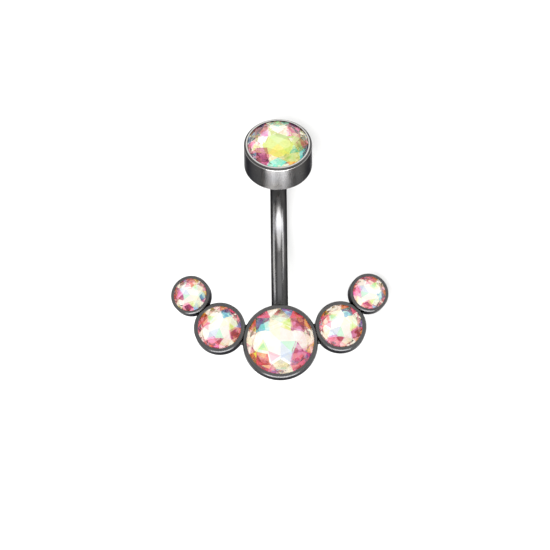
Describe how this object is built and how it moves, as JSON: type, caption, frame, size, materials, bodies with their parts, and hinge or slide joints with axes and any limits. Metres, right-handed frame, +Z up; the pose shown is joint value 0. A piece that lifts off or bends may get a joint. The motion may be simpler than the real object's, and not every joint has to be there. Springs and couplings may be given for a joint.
{
  "type": "navel ring",
  "caption": "Navel ring of dark polished steel: a bent bar soldered to a curved row of round stone cups, with a screw-on stone cup at its top end.",
  "frame": {"origin": "centre of the lying ring's footprint box, on the surface it lies on", "axes": "+Z up off the surface, +Y from the row of cups towards the top cup, +X towards the outer cup that the ring leans on"},
  "size_m": [0.0192, 0.0236, 0.0118],
  "materials": {
    "dark_steel": "polished, with a dark grey plated film",
    "coated_crystal": "clear cut crystal with a rainbow coating"
  },
  "bodies": {
    "ring": {"bar_and_cup_row": "dark_steel", "centre_stone": "coated_crystal", "left_inner_stone": "coated_crystal", "right_inner_stone": "coated_crystal", "left_outer_stone": "coated_crystal", "right_outer_stone": "coated_crystal"},
    "top": {"top_cup": "dark_steel", "top_stone": "coated_crystal"}
  },
  "joints": [
    {"name": "top_unscrews", "type": "slide", "parent": "ring", "child": "top", "axis": [0.2119, 0.8755, 0.4344], "range_m": [0, 0.0035]}
  ]
}
